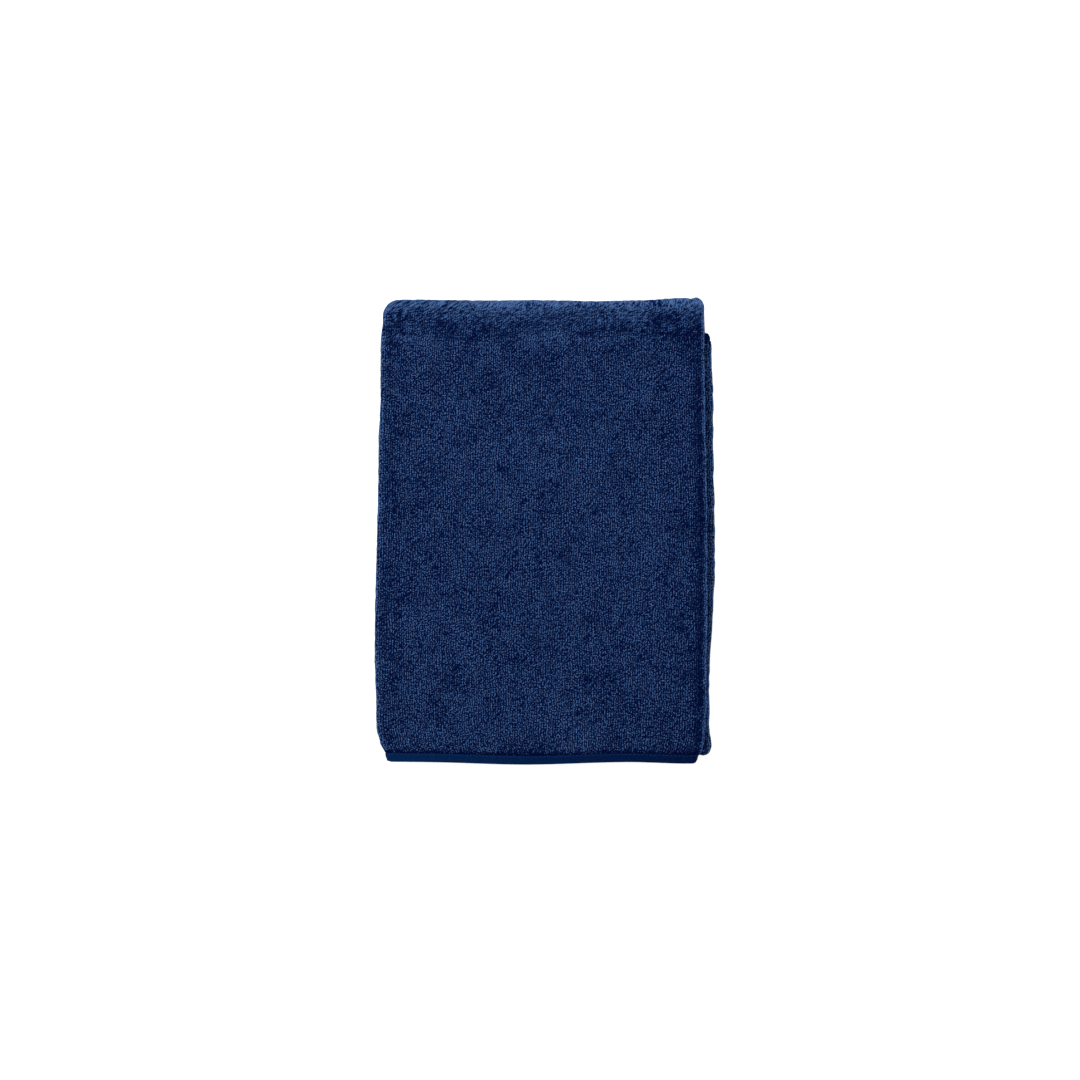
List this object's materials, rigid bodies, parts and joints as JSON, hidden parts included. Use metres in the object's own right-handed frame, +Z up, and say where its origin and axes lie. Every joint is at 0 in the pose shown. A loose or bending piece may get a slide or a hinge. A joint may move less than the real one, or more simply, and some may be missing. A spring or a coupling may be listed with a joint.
{
  "type": "folded bath towel",
  "caption": "Thick terry bath towel folded in half lengthwise and then in an accordion of thirds, with stitched side hems and a bound end showing.",
  "frame": {"origin": "centre of the folded towel's footprint, on the shelf it lies on", "axes": "+Z up, +Y along the towel towards the upper cross fold, +X from the side fold towards the hemmed side edges"},
  "size_m": [0.3536, 0.4786, 0.0219],
  "materials": {
    "terry_pile": "navy looped terry pile, soft and matt",
    "binding_tape": "dark navy knitted tape, smooth",
    "sewing_thread": "navy spun thread"
  },
  "bodies": {
    "base_third": {"base_upper_layer": "terry_pile", "base_lower_layer": "terry_pile", "base_side_fold": "terry_pile", "base_upper_side_stitching": "sewing_thread", "base_lower_side_stitching": "sewing_thread", "base_end_binding": "binding_tape", "base_end_stitching": "sewing_thread", "lower_fold_inner": "terry_pile", "lower_fold_outer": "terry_pile"},
    "middle_third": {"middle_upper_layer": "terry_pile", "middle_lower_layer": "terry_pile", "middle_side_fold": "terry_pile", "middle_upper_side_stitching": "sewing_thread", "middle_lower_side_stitching": "sewing_thread", "upper_fold_inner": "terry_pile", "upper_fold_outer": "terry_pile"},
    "top_third": {"top_upper_layer": "terry_pile", "top_lower_layer": "terry_pile", "top_side_fold": "terry_pile", "top_upper_side_stitching": "sewing_thread", "top_lower_side_stitching": "sewing_thread", "top_end_binding": "binding_tape", "top_end_stitching": "sewing_thread"}
  },
  "joints": [
    {"name": "lower_fold", "type": "hinge", "parent": "base_third", "child": "middle_third", "pos_m": [0, -0.22693, 0.00725], "axis": [1, 0, 0], "range_deg": [0, 180], "deforming": ["lower_fold_inner", "lower_fold_outer"]},
    {"name": "upper_fold", "type": "hinge", "parent": "middle_third", "child": "top_third", "pos_m": [0, 0.23193, 0.01465], "axis": [-1, 0, 0], "range_deg": [0, 180], "deforming": ["upper_fold_inner", "upper_fold_outer"]}
  ]
}
